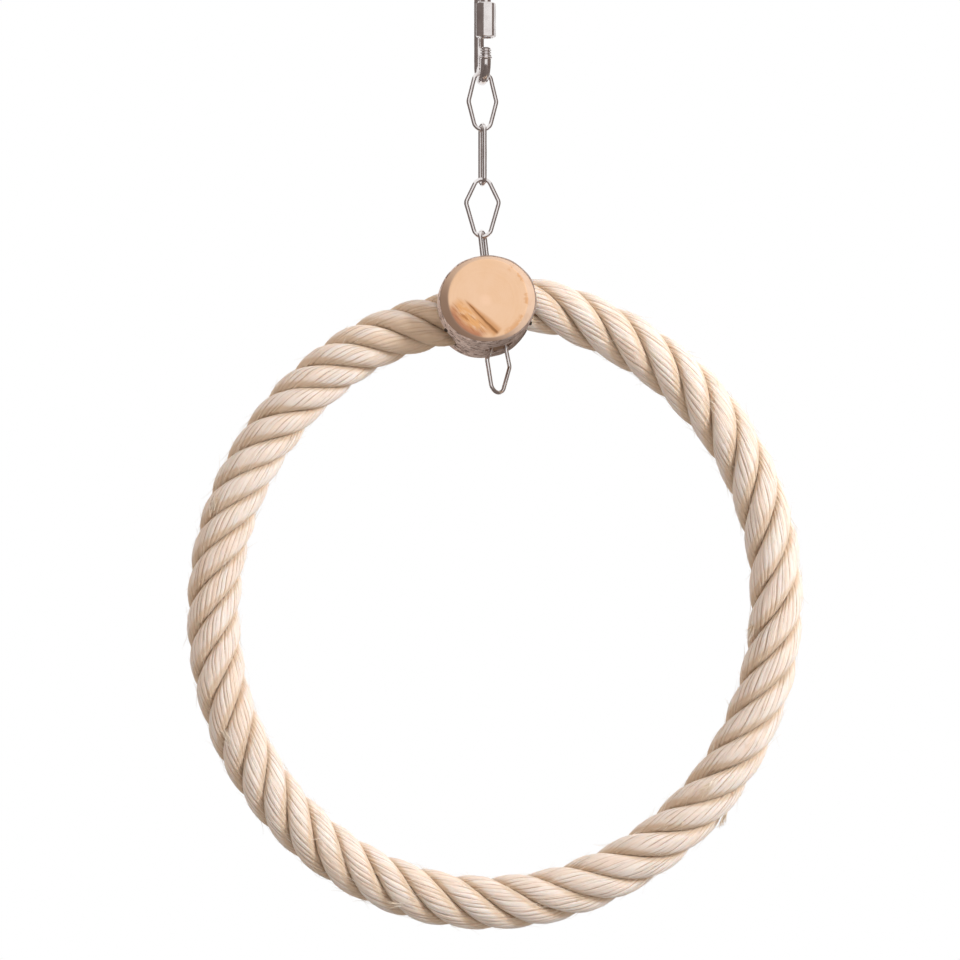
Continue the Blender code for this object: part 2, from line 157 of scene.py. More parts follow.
# Share of the rope's length, from its right end, where that painted shade changes to the other flank
TAN_TURN = 0.44
TAN_TURN_SPAN = 0.05
SHADED_AT = 0.014  # from the rope's left end to the middle of the stretch where the log's shadow is painted on the rope's underside
SHADED_LENGTH = 0.028
YARNS = 18  # round each strand
YARN_ROUND = 0.00050  # how far a yarn's crest stands above the grooves beside it
YARN_BACK_TURN = 0.94  # share of the lay that the yarns' own twist takes back
YARN_SPREAD = 0.22  # how far a yarn's edge may be out of place, as a share of its width
GROOVE_CUT = 0.75  # usual and least depth of the grooves between yarns, as a share of YARN_ROUND
GROOVE_LEAST = 0.30
# Unevenness: each the length of its longest waves along the rope, and how far it goes
STRAND_TURN_WAVES = (0.110, 0.035)
STRAND_LIFT_WAVES = (0.052, 0.00022)
YARN_EDGE_WAVES = ((0.090, 0.06), (0.028, 0.035))
YARN_LIFT_WAVES = ((0.075, 0.00014), (0.021, 0.00007))
GROOVE_WAVES = (0.045, 0.60)
TONE_WAVES = (0.110, 0.35)
HAIRS = 2200
HAIRLESS = (14, 16)  # steps at the rope's right and left ends, in the log
HAIR_ROOT = 0.0114  # least distance of a hair's root from the rope's middle line
HAIR_SUNK = 0.0002
HAIR_LENGTH = (0.004, 0.011)
HAIR_RISE = (0.0002, 0.0011)
HAIR_R = (0.00006, 0.00012)
HAIR_SWERVE = 0.35
HAIR_CURL = 0.0012
WILD_SHARE = 0.16  # of the hairs, which stand off the rope
WILD_RISE = (0.0015, 0.0042)
# Loose yarn ends: degrees round the ring from straight up, and degrees round the rope from its outer side
TUFTS = ((289.8, 54.0), (129.0, 105.0), (94.8, 158.0), (132.5, 8.0), (243.0, 70.0), (198.0, 60.0))
TUFT_HAIRS = 22
TUFT_SUNK = 0.0006
TUFT_SPREAD = 0.0012  # along the rope
TUFT_SPREAD_AROUND = 3.0  # in degrees
TUFT_LENGTH = (0.0035, 0.0080)
TUFT_RISE = (0.0010, 0.0030)
TUFT_R = (0.00020, 0.00034)
TUFT_SWERVE = 0.22
TUFT_CURL = 0.0006

# Facets
BEND_STEPS = 14
CORNER_STEPS = 8
WIRE_SIDES = 20
ROD_SIDES = 36
ROUND_STEPS = 160
ROUTE_STEPS = 6000
ROPE_STEP = 0.0026
YARN_SHARES = (0.22, 0.50, 0.78)  # across a yarn, from groove to groove
BORE_SIDES = 48
SOCKET_STEPS = 24
NUT_SIDES = 216
BARK_ROWS = 80

# Studio
CAMERA_AT = (-0.0012, -1.4, -0.2404)
VIEW_WIDTH = 0.4704  # of the picture, at the origin's distance
FLOOR_Z = -0.62
FLOOR_HALF_WIDTH = 4.0
FLOOR_FRONT = -0.85
FLOOR_BACK = 6.0
FLOOR_FADE = (0.45, 0.85)  # from straight under the origin, where the floor turns white
WORLD_FRONT = 0.82  # strength of the world's light from the front, and from behind
WORLD_BACK = 1.02
WORLD_FADE = (-0.3, 0.6)  # between the two, as the part of the light's way that points to the back
WORLD_COLOUR = (1.0, 0.875, 0.78, 1.0)
KEY_AT = (1.62, -1.00, 0.62)
KEY_SIZE = 0.5
KEY_WATTS = 35.0
FLAG_AWAY = 0.9
FLAG_HEIGHT = 1.6
FLAG_BACK = 1.45
FLAG_LEFT_FRONT = -1.95
FLAG_RIGHT_FRONT = -1.24
FLAG_Z = -0.2
FLAG_LEFT_SHADE = 0.16
FLAG_RIGHT_SHADE = 0.26
LOW_FLAG_LENGTH = 2.6
LOW_FLAG_Y = -0.95
LOW_FLAG_Z = -0.58
LOW_FLAG_SHADE = 0.12


def leaning(roll):
    """A turn by the log's yaw and pitch and a given roll."""
    yaw_and_pitch = Matrix.Rotation(LOG_YAW, 4, "Z") @ Matrix.Rotation(LOG_PITCH, 4, "X")
    return yaw_and_pitch @ Matrix.Rotation(roll, 4, "Y")


LOG_AT = Matrix.Translation(LOG_MIDDLE) @ leaning(LOG_ROLL)
QUICK_LINK_AT = Matrix.Rotation(QUICK_LINK_TURN, 4, "Z")


# Shader nodes


def add_node(tree, kind, values=None, **settings):
    """A node with its settings, and with its inputs set from numbers or from other nodes' outputs."""
    node = tree.nodes.new(kind)
    for name, value in settings.items():
        setattr(node, name, value)
    for key, value in (values or {}).items():
        if isinstance(value, bpy.types.NodeSocket):
            tree.links.new(value, node.inputs[key])
        else:
            node.inputs[key].default_value = value
    return node


def calc(tree, operation, a, b=0.0):
    return add_node(tree, "ShaderNodeMath", {0: a, 1: b}, operation=operation).outputs[0]


def fade(tree, value, low, high):
    """0 at low and 1 at high, with a smooth way between them."""
    values = {"Value": value, "From Min": low, "From Max": high}
    return add_node(tree, "ShaderNodeMapRange", values, interpolation_type="SMOOTHSTEP").outputs["Result"]


def mix(tree, share, a, b, blend_type="MIX"):
    values = {0: share, 6: a, 7: b}
    node = add_node(tree, "ShaderNodeMix", values, data_type="RGBA", blend_type=blend_type)
    return node.outputs[2]


def noise(tree, vector, scale, detail=3.0, roughness=0.55):
    values = {"Vector": vector, "Scale": scale, "Detail": detail, "Roughness": roughness}
    return add_node(tree, "ShaderNodeTexNoise", values).outputs["Fac"]


def mapped(tree, vector, location=(0.0, 0.0, 0.0), turn=(0.0, 0.0, 0.0), scale=(1.0, 1.0, 1.0)):
    values = {"Vector": vector, "Location": location, "Rotation": turn, "Scale": scale}
    return add_node(tree, "ShaderNodeMapping", values).outputs["Vector"]


def place_of(tree):
    return add_node(tree, "ShaderNodeTexCoord").outputs["Object"]


def attribute(tree, name):
    return add_node(tree, "ShaderNodeAttribute", attribute_name=name).outputs["Fac"]


def new_material(name, **values):
    """A material, its nodes and its shader, with the shader's inputs set by name."""
    material = bpy.data.materials.new(name)
    material.use_nodes = True
    tree = material.node_tree
    shader = tree.nodes["Principled BSDF"]
    for key, value in values.items():
        shader.inputs[key.replace("_", " ")].default_value = value
    return material, tree, shader


def bump(tree, shader, height, distance, strength=1.0):
    values = {"Height": height, "Distance": distance, "Strength": strength}
    tree.links.new(add_node(tree, "ShaderNodeBump", values).outputs["Normal"], shader.inputs["Normal"])


def spread_of(tree, value, low, high):
    """A value from 0 to 1 set out from low to high."""
    values = {"Value": value, "To Min": low, "To Max": high}
    return add_node(tree, "ShaderNodeMapRange", values).outputs["Result"]


def tinted(tree, base, share, most, colour):
    """The base colour, with up to most of another one where the share is 1."""
    return mix(tree, calc(tree, "MULTIPLY", share, most), base, (*colour, 1.0))


def sisal_material():
    """Pale dry fibre: each yarn its own tone and fine streaks along it, with painted shade: darker grooves
    between yarns, tan creases between strands that turn dark brown in spots at their deepest, and the
    painted shadow of the log by the rope's left end.
    """
    material, tree, shader = new_material(
        "sisal",
        Sheen_Weight=0.20,
        Sheen_Roughness=0.6,
        Subsurface_Weight=0.35,
        Subsurface_Radius=(1.0, 0.70, 0.50),
        Subsurface_Scale=0.004,
    )
    uv = add_node(tree, "ShaderNodeUVMap", uv_map="fibre").outputs["UV"]
    fibres = noise(tree, mapped(tree, uv, scale=(170.0, 150.0, 1.0)), 1.0, 4.0, 0.65)
    strips = noise(tree, mapped(tree, uv, scale=(45.0, 62.0, 1.0)), 1.0, 3.0)
    patches = noise(tree, place_of(tree), 24.0, 2.0)
    # Spots that break up the painted shade deep in the creases
    deep_shade_spots = spread_of(tree, fade(tree, noise(tree, place_of(tree), 110.0, 2.0), 0.42, 0.62), 0.25, 1.0)
    warm = mix(tree, fade(tree, patches, 0.35, 0.68), (0.93, 0.81, 0.73, 1.0), (0.92, 0.775, 0.66, 1.0))
    pale = mix(tree, attribute(tree, "tone"), warm, (0.95, 0.885, 0.84, 1.0))
    drawn = tinted(tree, pale, fade(tree, strips, 0.54, 0.72), 0.42, (0.80, 0.61, 0.44))
    fibrous = tinted(tree, drawn, fade(tree, fibres, 0.52, 0.72), 0.38, (0.66, 0.47, 0.32))
    # Painted shade in the grooves between yarns, which also carries the log's painted shadow
    groove = attribute(tree, "groove")
    groove_shaded = tinted(tree, fibrous, fade(tree, groove, 0.20, 0.95), 0.72, (0.44, 0.28, 0.17))
    # Painted shade in the creases between strands: tan, and dark brown in spots at the deepest, which also
    # carries the log's painted shadow
    crease = attribute(tree, "crease")
    shaded = tinted(tree, groove_shaded, fade(tree, crease, 0.02, 0.50), 0.74, (0.74, 0.56, 0.39))
    deep_crease_shade = calc(tree, "MULTIPLY", fade(tree, crease, 0.88, 1.04), deep_shade_spots)
    crease_shaded = tinted(tree, shaded, deep_crease_shade, 0.65, (0.40, 0.25, 0.13))
    tree.links.new(crease_shaded, shader.inputs["Base Color"])
    tree.links.new(spread_of(tree, fibres, 0.66, 0.92), shader.inputs["Roughness"])
    bump(tree, shader, calc(tree, "ADD", fibres, strips), 0.0007, 0.9)
    return material


def hair_material():
    material, tree, shader = new_material("sisal_hair", Roughness=0.6)
    tones = noise(tree, place_of(tree), 60.0, 1.0)
    colour = mix(tree, fade(tree, tones, 0.35, 0.65), (0.86, 0.73, 0.57, 1.0), (0.97, 0.92, 0.85, 1.0))
    tree.links.new(colour, shader.inputs["Base Color"])
    return material


def steel_material():
    """Polished stainless wire, a little cloudy."""
    material, tree, shader = new_material("polished_steel", Metallic=1.0)
    clouds = noise(tree, place_of(tree), 160.0, 2.0)
    colour = mix(tree, fade(tree, clouds, 0.35, 0.70), (0.84, 0.80, 0.79, 1.0), (0.72, 0.67, 0.66, 1.0))
    tree.links.new(colour, shader.inputs["Base Color"])
    tree.links.new(spread_of(tree, clouds, 0.10, 0.20), shader.inputs["Roughness"])
    return material


def nail_material():
    material, tree, shader = new_material("blackened_nail", Metallic=0.8)
    blots = noise(tree, place_of(tree), 1800.0, 2.0)
    colour = mix(tree, fade(tree, blots, 0.40, 0.65), (0.060, 0.048, 0.042, 1.0), (0.13, 0.090, 0.066, 1.0))
    tree.links.new(colour, shader.inputs["Base Color"])
    tree.links.new(spread_of(tree, blots, 0.45, 0.75), shader.inputs["Roughness"])
    return material


def far_from(tree, place, x, z):
    """The distance from the line that runs along the log at x and z."""
    from_line = mapped(tree, place, (-x, 0.0, -z), scale=(1.0, 0.0, 1.0))
    return add_node(tree, "ShaderNodeVectorMath", {0: from_line}, operation="LENGTH").outputs["Value"]


def streaks(tree, place):
    """The shares of a dark line that falls across the face, of its brown halo, of the stained area to the
    left of it, and of the wash and the strokes there."""
    moved = mapped(tree, place, (-STREAK_START[0], 0.0, -STREAK_START[1]))
    turned = mapped(tree, moved, turn=(0.0, -STREAK_FALL, 0.0))
    parts = add_node(tree, "ShaderNodeSeparateXYZ", {0: turned})
    along, across = parts.outputs["X"], parts.outputs["Z"]
    strokes = noise(tree, mapped(tree, turned, scale=(110.0, 1.0, 800.0)), 1.0, 3.0)
    clouds = noise(tree, mapped(tree, turned, scale=(150.0, 1.0, 420.0)), 1.0, 3.0)
    sway = calc(tree, "MULTIPLY", calc(tree, "SUBTRACT", strokes, 0.5), STREAK_SWAY)
    swayed = calc(tree, "ADD", across, sway)
    off_line = calc(tree, "ABSOLUTE", swayed)
    wide = spread_of(tree, fade(tree, along, 0.0, STREAK_LENGTH), *STREAK_HALF_WIDTH)
    start = fade(tree, along, -0.0010, 0.0050)
    end = fade(tree, along, STREAK_LENGTH + 0.0008, STREAK_LENGTH - 0.0010)
    reach = calc(tree, "MULTIPLY", start, end)
    line = calc(tree, "MULTIPLY", fade(tree, calc(tree, "DIVIDE", off_line, wide), 1.0, 0.25), reach)
    halo = calc(tree, "MULTIPLY", fade(tree, calc(tree, "DIVIDE", off_line, wide), 3.6, 0.6), reach)
    left = calc(tree, "MULTIPLY", fade(tree, swayed, 0.0, -0.0030), fade(tree, along, -0.0045, 0.0015))
    low = fade(tree, along, STREAK_LENGTH - 0.0020, STREAK_LENGTH - 0.0065)
    area = calc(tree, "MULTIPLY", left, low)
    washed = calc(tree, "MULTIPLY", area, fade(tree, clouds, 0.28, 0.54))
    stroked = calc(tree, "MULTIPLY", area, fade(tree, strokes, 0.48, 0.66))
    return line, halo, area, washed, stroked


def wood_material():
    """Pale end grain: growth rings about the pith, a dark streak, a brown stain low on the left, brown
    smears at the flat's edge on the right, and a duller turned chamfer with painted shade on its lower left."""
    material, tree, shader = new_material("pale_wood", Specular_IOR_Level=0.35)
    place = place_of(tree)
    sway = noise(tree, place, 130.0, 3.0)
    radius = calc(tree, "ADD", far_from(tree, place, *PITH), calc(tree, "MULTIPLY", sway, 0.0030))
    ring_values = {"W": radius, "Scale": 900.0, "Detail": 2.0}
    rings = add_node(tree, "ShaderNodeTexNoise", ring_values, noise_dimensions="1D").outputs["Fac"]
    grain = noise(tree, place, 1500.0, 3.0)
    blush = noise(tree, place, 95.0, 3.0)
    smears = noise(tree, place, 240.0, 3.0)
    base = mix(tree, fade(tree, blush, 0.30, 0.72), (0.71, 0.50, 0.345, 1.0), (0.69, 0.47, 0.305, 1.0))
    ringed = tinted(tree, base, fade(tree, rings, 0.48, 0.75), 0.08, (0.66, 0.40, 0.22))
    hearted = tinted(tree, ringed, fade(tree, radius, 0.0055, 0.0020), 0.25, (0.88, 0.64, 0.50))
    speckled = tinted(tree, hearted, fade(tree, grain, 0.55, 0.80), 0.12, (0.50, 0.29, 0.15))
    from_axis = far_from(tree, place, 0.0, 0.0)
    line, halo, area, washed, stroked = streaks(tree, place)
    stained = tinted(tree, speckled, washed, 0.85, (0.64, 0.33, 0.12))
    stroke_marks = tinted(tree, stained, stroked, 0.82, (0.36, 0.15, 0.05))
    rim = calc(tree, "MULTIPLY", area, fade(tree, from_axis, 0.0140, 0.0192))
    rimmed = tinted(tree, stroke_marks, rim, 0.85, (0.37, 0.16, 0.10))
    haloed = tinted(tree, rimmed, halo, 0.85, (0.50, 0.24, 0.09))
    streaked = tinted(tree, haloed, line, 0.88, (0.22, 0.095, 0.032))

    parts = add_node(tree, "ShaderNodeSeparateXYZ", {0: place})
    right = fade(tree, parts.outputs["X"], 0.0035, 0.0080)
    smeared_right = calc(tree, "MULTIPLY", right, fade(tree, smears, 0.50, 0.62))
    edged = calc(tree, "MULTIPLY", fade(tree, from_axis, 0.0160, 0.0188), smeared_right)
    smeared = tinted(tree, streaked, edged, 0.65, (0.56, 0.28, 0.11))
    on_chamfer = fade(tree, from_axis, FACE_D / 2 - 0.0004, FACE_D / 2 + 0.0005)
    turned = tinted(tree, smeared, on_chamfer, 0.80, (0.545, 0.41, 0.32))
    # Painted shade on the chamfer's lower left, the side turned from the light
    low_left_shade = fade(tree, calc(tree, "ADD", parts.outputs["X"], parts.outputs["Z"]), -0.0020, -0.0200)
    colour = tinted(tree, turned, calc(tree, "MULTIPLY", on_chamfer, low_left_shade), 0.72, (0.30, 0.20, 0.15))
    tree.links.new(colour, shader.inputs["Base Color"])
    tree.links.new(spread_of(tree, grain, 0.50, 0.72), shader.inputs["Roughness"])
    bump(tree, shader, calc(tree, "ADD", grain, rings), 0.00010, 0.25)
    return material


def bark_material():
    """Pink grey bark, streaked along the rim, darker to the right."""
    material, tree, shader = new_material("bark", Specular_IOR_Level=0.25)
    place = place_of(tree)
    parts = add_node(tree, "ShaderNodeSeparateXYZ", {0: place})
    bands = noise(tree, mapped(tree, place, scale=(300.0, 750.0, 300.0)), 1.0, 4.0, 0.6)
    flakes = noise(tree, mapped(tree, place, scale=(900.0, 760.0, 900.0)), 1.0, 4.0, 0.6)
    blush = noise(tree, place, 110.0, 2.0)
    base = mix(tree, fade(tree, blush, 0.35, 0.65), (0.82, 0.68, 0.63, 1.0), (0.68, 0.54, 0.49, 1.0))
    paled = tinted(tree, base, fade(tree, flakes, 0.50, 0.60), 0.80, (0.88, 0.78, 0.74))
    banded = tinted(tree, paled, fade(tree, bands, 0.50, 0.60), 0.78, (0.17, 0.11, 0.09))
    to_right = fade(tree, parts.outputs["X"], -0.0170, 0.0150)
    colour = tinted(tree, banded, to_right, 0.78, (0.18, 0.13, 0.105))
    tree.links.new(colour, shader.inputs["Base Color"])
    tree.links.new(spread_of(tree, flakes, 0.70, 0.95), shader.inputs["Roughness"])
    bump(tree, shader, calc(tree, "SUBTRACT", flakes, bands), 0.0005, 0.9)
    return material


STEEL = steel_material()
WOOD = wood_material()
BARK_SKIN = bark_material()
SISAL = sisal_material()
HAIR = hair_material()
NAIL = nail_material()


# Meshes


def unit(vectors):
    return vectors / np.linalg.norm(vectors, axis=-1, keepdims=True)


def tube(rows, loop=False, first=0):
    """Faces over rows of points that each run round in a ring. A loop also joins the last row to the first,
    and otherwise each end is closed. first is the number of the first point."""
    count, around = rows.shape[:2]
    faces = []
    for i in range(count if loop else count - 1):
        a, b = first + i * around, first + (i + 1) % count * around
        for j in range(around):
            k = (j + 1) % around
            faces.append((a + j, a + k, b + k, b + j))
    if not loop:
        faces.append(tuple(range(first + around - 1, first - 1, -1)))
        end = first + (count - 1) * around
        faces.append(tuple(range(end, end + around)))
    return faces


def new_mesh(name, points, faces):
    mesh = bpy.data.meshes.new(name)
    mesh.from_pydata(np.reshape(points, (-1, 3)).tolist(), [], faces)
    shape = bmesh.new()
    shape.from_mesh(mesh)
    bmesh.ops.recalc_face_normals(shape, faces=shape.faces)
    shape.to_mesh(mesh)
    shape.free()
    return mesh


def add_piece(name, mesh, material, body, stands_for, at=None, sharp=35.0):
    """Puts a mesh in the scene as a piece that rides on a body and stands for that body's plain solids."""
    piece = bpy.data.objects.new(name, mesh)
    bpy.context.scene.collection.objects.link(piece)
    piece.matrix_world = at or Matrix()
    mesh.materials.append(material)
    mesh.shade_smooth()
    mesh.set_sharp_from_angle(angle=math.radians(sharp))
    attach(piece, body)
    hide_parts(*stands_for)
    return piece


def set_attribute(mesh, name, values):
    values = np.ravel(values).astype(np.float32)
    mesh.attributes.new(name, "FLOAT", "POINT").data.foreach_set("value", values)


def wander(steps, wave, reach, count):
    """Smooth random ups and downs along steps, a separate one for each of count columns."""
    shares = (1.0, 0.61, 0.37)
    total = np.zeros((len(steps), count))
    for share in shares:
        phase = CHANCE.uniform(0.0, 2 * math.pi, count)
        total += share * np.sin(2 * math.pi * steps[:, None] / (wave * share) + phase)
    return reach * total / sum(shares)


# Rope


def route_radius(angle):
    """The rope's middle line, from the ring's middle. The angle runs clockwise from straight up."""
    long_r, short_r = (RING_LONG - ROPE_D) / 2, (RING_SHORT - ROPE_D) / 2
    turn = angle - RING_LEAN
    oval = long_r * short_r / np.hypot(short_r * np.cos(turn), long_r * np.sin(turn))
    from_log = np.where(angle < math.pi, angle, angle - 2 * math.pi)
    tilt = from_log / END_TILT_AT
    rise = END_RISE * np.exp(-((from_log / END_RISE_SPAN) ** 2))
    return oval + rise + END_TILT * tilt * np.exp((1 - tilt**2) / 2)


def route_points(angles):
    radius = route_radius(angles)
    flat = np.zeros_like(radius)
    return RING_MIDDLE + np.column_stack((radius * np.sin(angles), flat, radius * np.cos(angles)))


def angle_at(x):
    """The angle where the route, near the log, is x to the right of the ring's middle."""
    angle = 0.0
    for _ in range(20):
        angle = math.asin(x / float(route_radius(np.float64(angle))))
    return angle


def rope_line():
    """Even steps along the rope's middle line: distance, point, outward and sideways directions, and the
    angle that the lay has turned."""
    first, last = angle_at(ROPE_RIGHT), 2 * math.pi + angle_at(ROPE_LEFT)
    fine = route_points(np.linspace(first, last, ROUTE_STEPS))
    walked = np.concatenate(([0.0], np.cumsum(np.linalg.norm(np.diff(fine, axis=0), axis=1))))
    length = walked[-1]
    steps = np.linspace(0.0, length, round(length / ROPE_STEP) + 1)
    middle = np.column_stack([np.interp(steps, walked, fine[:, i]) for i in range(3)])
    ahead = unit(np.gradient(middle, axis=0))
    outward = np.column_stack((-ahead[:, 2], np.zeros(len(steps)), ahead[:, 0]))
    sideways = np.cross(ahead, outward)
    shrink = LAY_LEFT / LAY_RIGHT
    turns = length * math.log(1 / shrink) / (LAY_RIGHT - LAY_LEFT)
    share = np.log(1 - steps / length * (1 - shrink)) / math.log(shrink)
    return steps, middle, outward, sideways, 2 * math.pi * turns * share


def strand(line, number):
    """One strand's rings of points; how deep each lies in a groove or a crease, which the rope paints as
    shade, with the painted shadow of the log added to both; and its yarn's tone.
    """
    steps, middle, outward, sideways, lay = line
    turn = (LAY_PHASE + lay + 2 * math.pi * number / STRANDS)[:, None]
    turn = turn + wander(steps, *STRAND_TURN_WAVES, 1)
    up = outward * np.cos(turn) + sideways * np.sin(turn)
    across = sideways * np.cos(turn) - outward * np.sin(turn)
    axis_r = ROPE_D / 2 - STRAND_HIGH

    back_turn = YARN_BACK_TURN * ROPE_D / 2 / STRAND_WIDE
    shift = CHANCE.uniform(-YARN_SPREAD, YARN_SPREAD, YARNS)
    edges = 2 * math.pi * (np.arange(YARNS) + shift) / YARNS - back_turn * lay[:, None]
    for waves in YARN_EDGE_WAVES:
        edges = edges + wander(steps, *waves, YARNS)
    following = np.concatenate((edges[:, 1:], edges[:, :1] + 2 * math.pi), axis=1)
    cut = np.clip(GROOVE_CUT + wander(steps, *GROOVE_WAVES, YARNS), GROOVE_LEAST, 1.0)
    next_cut = np.roll(cut, -1, axis=1)
    lift = sum(wander(steps, *waves, YARNS) for waves in YARN_LIFT_WAVES)
    lift = lift + wander(steps, *STRAND_LIFT_WAVES, 1)
    tone = CHANCE.uniform(0.1, 0.9, YARNS) + wander(steps, *TONE_WAVES, YARNS)
    tone = np.clip(tone, 0.0, 1.0)

    angles, heights, grooves = [edges], [lift - YARN_ROUND * cut], [cut]
    for share in YARN_SHARES:
        angles.append(edges + share * (following - edges))
        fall = abs(2 * share - 1) ** 2.4
        heights.append(lift - YARN_ROUND * fall * np.where(share < 0.5, cut, next_cut))
        grooves.append(np.zeros_like(cut))
    columns = [np.stack(rows, axis=2).reshape(len(steps), -1) for rows in (angles, heights, grooves)]
    angles, heights, groove = columns
    tone = np.repeat(tone, len(YARN_SHARES) + 1, axis=1)

    cos, sin = np.cos(angles), np.sin(angles)
    normal = unit(np.stack((cos / STRAND_HIGH, sin / STRAND_WIDE), axis=-1))
    rings = np.stack((STRAND_HIGH * cos, STRAND_WIDE * sin), axis=-1) + normal * heights[..., None]
    from_axis = np.hypot(axis_r + rings[..., 0], rings[..., 1])
    # Painted shade: how deep each point lies in a crease between strands, further up the flank turned from
    # the light
    flank = np.clip((steps / steps[-1] - TAN_TURN) / TAN_TURN_SPAN, -1.0, 1.0)[:, None]
    crease_top = CREASE_TOP + TAN_FLANK * np.clip(sin * flank, 0.0, None)
    crease = np.clip((crease_top - from_axis) / CREASE_DEPTH, 0.0, 1.0)
    # Painted shadow of the log, on the underside of the rope's left end, added to the crease and groove
    # shades
    log_shadow = np.exp(-(((steps[-1] - steps - SHADED_AT) / SHADED_LENGTH) ** 2))[:, None]
    down = -(up[:, 2:] * cos + across[:, 2:] * sin)
    crease = np.maximum(crease, log_shadow * np.clip(0.95 + 1.2 * down, 0.0, 1.0))
    groove = np.maximum(groove, log_shadow * np.clip(1.6 * down - 0.2, 0.0, 1.0))
    points = middle[:, None] + up[:, None] * (axis_r + rings[..., :1]) + across[:, None] * rings[..., 1:]
    return points, groove, crease, tone


def add_fibre_map(mesh, steps, around):
    """A map with metres along the rope one way, and the way round each strand the other."""
    index = np.empty(len(mesh.loops), dtype=np.int64)
    mesh.loops.foreach_get("vertex_index", index)
    starts = np.empty(len(mesh.polygons), dtype=np.int64)
    mesh.polygons.foreach_get("loop_start", starts)
    sizes = np.empty(len(mesh.polygons), dtype=np.int64)
    mesh.polygons.foreach_get("loop_total", sizes)
    count = len(steps)
    place = index // around % count
    way = index % around / around
    low = np.repeat(np.minimum.reduceat(way, starts), sizes)
    way = np.where(way - low > 0.5, way - 1.0, way)
    uv = np.column_stack((steps[place], way + 3.0 * (index // (around * count))))
    mesh.uv_layers.new(name="fibre").data.foreach_set("uv", uv.ravel().astype(np.float32))


def hair_rows(start, along, lift, length, rise, curl, radius):
    """A thin three-sided fibre that leaves the rope along one direction and rises off it."""
    side = unit(np.cross(along, lift))
    shares = np.linspace(0.0, 1.0, 6)[:, None]
    path = start + along * length * shares + lift * rise * shares**1.6
    path = path + side * curl * np.sin(0.8 * math.pi * shares)
    ahead = unit(np.gradient(path, axis=0))
    one = unit(np.cross(ahead, side))
    two = np.cross(ahead, one)
    taper = radius * (1.0 - 0.75 * shares)
    angles = 2 * math.pi * np.arange(3) / 3
    return np.stack([path + taper * (one * math.cos(a) + two * math.sin(a)) for a in angles], axis=1)


def fuzz(strands, middle):
    """Loose fibres over the whole rope: most lie close, a few stand off it."""
    rows = []
    for _ in range(HAIRS):
        points = strands[CHANCE.integers(STRANDS)]
        place = int(CHANCE.integers(HAIRLESS[0], len(middle) - HAIRLESS[1]))
        outer = np.linalg.norm(points[place] - middle[place], axis=1)
        column = int(CHANCE.choice(np.flatnonzero(outer > HAIR_ROOT)))
        start = points[place, column]
        lift = unit(start - middle[place])
        ahead = unit(middle[place + 1] - middle[place - 1]) * CHANCE.choice((-1.0, 1.0))
        along = unit(ahead + np.cross(ahead, lift) * CHANCE.normal(0.0, HAIR_SWERVE))
        wild = CHANCE.random() < WILD_SHARE
        length = CHANCE.uniform(*HAIR_LENGTH)
        rise = CHANCE.uniform(*(WILD_RISE if wild else HAIR_RISE))
        curl = CHANCE.normal(0.0, HAIR_CURL)
        radius = CHANCE.uniform(*HAIR_R)
        rows.append(hair_rows(start - lift * HAIR_SUNK, along, lift, length, rise, curl, radius))
    return rows


def tufts(line):
    """Short bundles of fibre, where a yarn ends on the rope's surface."""
    middle, outward, sideways = line[1:4]
    from_ring = middle - RING_MIDDLE
    ring_angles = np.degrees(np.arctan2(from_ring[:, 0], from_ring[:, 2])) % 360.0
    rows = []
    for ring_angle, rope_angle in TUFTS:
        place = int(np.argmin(np.abs(ring_angles - ring_angle)))
        ahead = unit(middle[place + 1] - middle[place - 1])
        for _ in range(TUFT_HAIRS):
            way = math.radians(rope_angle + CHANCE.normal(0.0, TUFT_SPREAD_AROUND))
            lift = outward[place] * math.cos(way) + sideways[place] * math.sin(way)
            root = middle[place] + lift * (ROPE_D / 2 - TUFT_SUNK)
            start = root + ahead * CHANCE.normal(0.0, TUFT_SPREAD)
            along = unit(ahead + np.cross(ahead, lift) * CHANCE.normal(0.0, TUFT_SWERVE))
            length = CHANCE.uniform(*TUFT_LENGTH)
            rise = CHANCE.uniform(*TUFT_RISE)
            radius = CHANCE.uniform(*TUFT_R)
            curl = CHANCE.normal(0.0, TUFT_CURL)
            rows.append(hair_rows(start, along, lift, length, rise, curl, radius))
    return rows


def rope():
    line = rope_line()
    steps, middle = line[:2]
    made = [strand(line, number) for number in range(STRANDS)]
    strands = [points for points, _, _, _ in made]
    around = strands[0].shape[1]
    faces = []
    for number, points in enumerate(strands):
        faces += tube(points, first=number * len(steps) * around)
    mesh = new_mesh("sisal_rope", np.stack(strands), faces)
    for name, values in zip(("groove", "crease", "tone"), zip(*[extras for _, *extras in made])):
        set_attribute(mesh, name, np.stack(values))
    add_fibre_map(mesh, steps, around)
    nodes = [f"rope_strand_{number + 1}" for number in range(STRANDS)]
    piece = add_piece("sisal_rope", mesh, SISAL, "ring", [*nodes, "rope_heart"], sharp=180.0)

    hairs = fuzz(strands, middle) + tufts(line)
    hair_faces = []
    for number, rows in enumerate(hairs):
        hair_faces += tube(rows, first=number * rows.shape[0] * rows.shape[1])
    hair_mesh = new_mesh("sisal_fuzz", np.stack(hairs), hair_faces)
    hair = add_piece("sisal_fuzz", hair_mesh, HAIR, "ring", [], sharp=180.0)

    leaves = RING_MIDDLE + np.array((LOG_WIDTH / 2, 0.0, 0.0))
    leaves[2] = np.interp(leaves[0], middle[:20, 0], middle[:20, 2])


# Log


def oval(angles, inset):
    """The log's outline at those angles, from its axis, less an inset."""
    half_width, half_height = LOG_WIDTH / 2 - inset, LOG_HEIGHT / 2 - inset
    return half_width * half_height / np.hypot(half_height * np.cos(angles), half_width * np.sin(angles))


